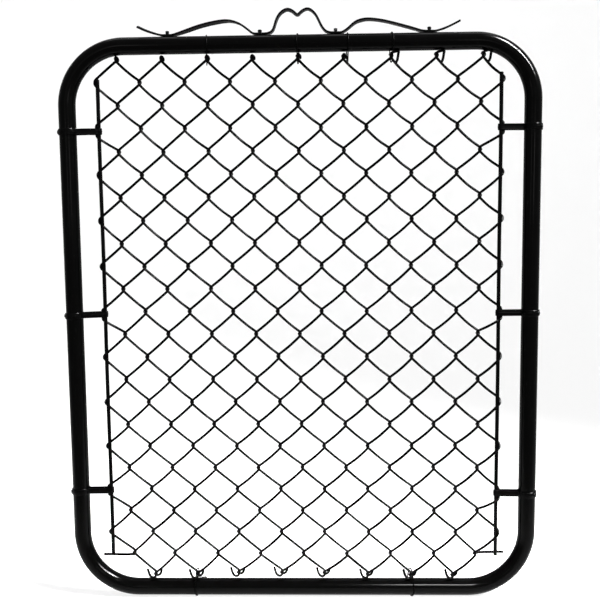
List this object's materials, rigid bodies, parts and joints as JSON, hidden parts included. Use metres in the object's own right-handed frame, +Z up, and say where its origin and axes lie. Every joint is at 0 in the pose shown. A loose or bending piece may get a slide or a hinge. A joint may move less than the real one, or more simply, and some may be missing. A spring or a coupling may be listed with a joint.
{
  "type": "chain link gate leaf",
  "caption": "Chain link walk gate leaf: round tube frame with bent corners, woven wire fabric on tension bars and straps, and a bent strip scroll along the top rail",
  "frame": {"origin": "On the axis of the hinge stile, the left one seen from the front, at the middle of the lower hinge seat, 180 mm above the leaf's lower edge", "axes": "+X runs from the hinge stile to the latch stile, +Z is up, -Y is the front"},
  "size_m": [0.982, 0.0416, 1.226],
  "materials": {
    "tube_coating": "gloss black coating over steel tube",
    "wire_coating": "gloss black coating over woven steel wire",
    "fitting_coating": "gloss black coating over steel bar and strap",
    "scroll_coating": "satin black coating over flat steel strip",
    "screw_coating": "black coated steel screw",
    "tie_coating": "black coated tie wire"
  },
  "bodies": {
    "root": {"frame_stiles": "tube_coating", "frame_rails": "tube_coating", "frame_bends": "tube_coating", "chain_link_mesh": "wire_coating", "left_edge_wire": "wire_coating", "right_edge_wire": "wire_coating", "left_tension_bar": "fitting_coating", "left_top_band": "fitting_coating", "left_middle_band": "fitting_coating", "left_bottom_band": "fitting_coating", "right_tension_bar": "fitting_coating", "right_top_band": "fitting_coating", "right_middle_band": "fitting_coating", "right_bottom_band": "fitting_coating", "top_scroll": "scroll_coating", "scroll_screw_1": "screw_coating", "scroll_screw_2": "screw_coating", "scroll_screw_3": "screw_coating", "scroll_screw_4": "screw_coating", "top_tie_1": "tie_coating", "top_tie_2": "tie_coating", "top_tie_3": "tie_coating", "top_tie_4": "tie_coating", "bottom_tie_1": "tie_coating", "bottom_tie_2": "tie_coating"}
  },
  "joints": []
}
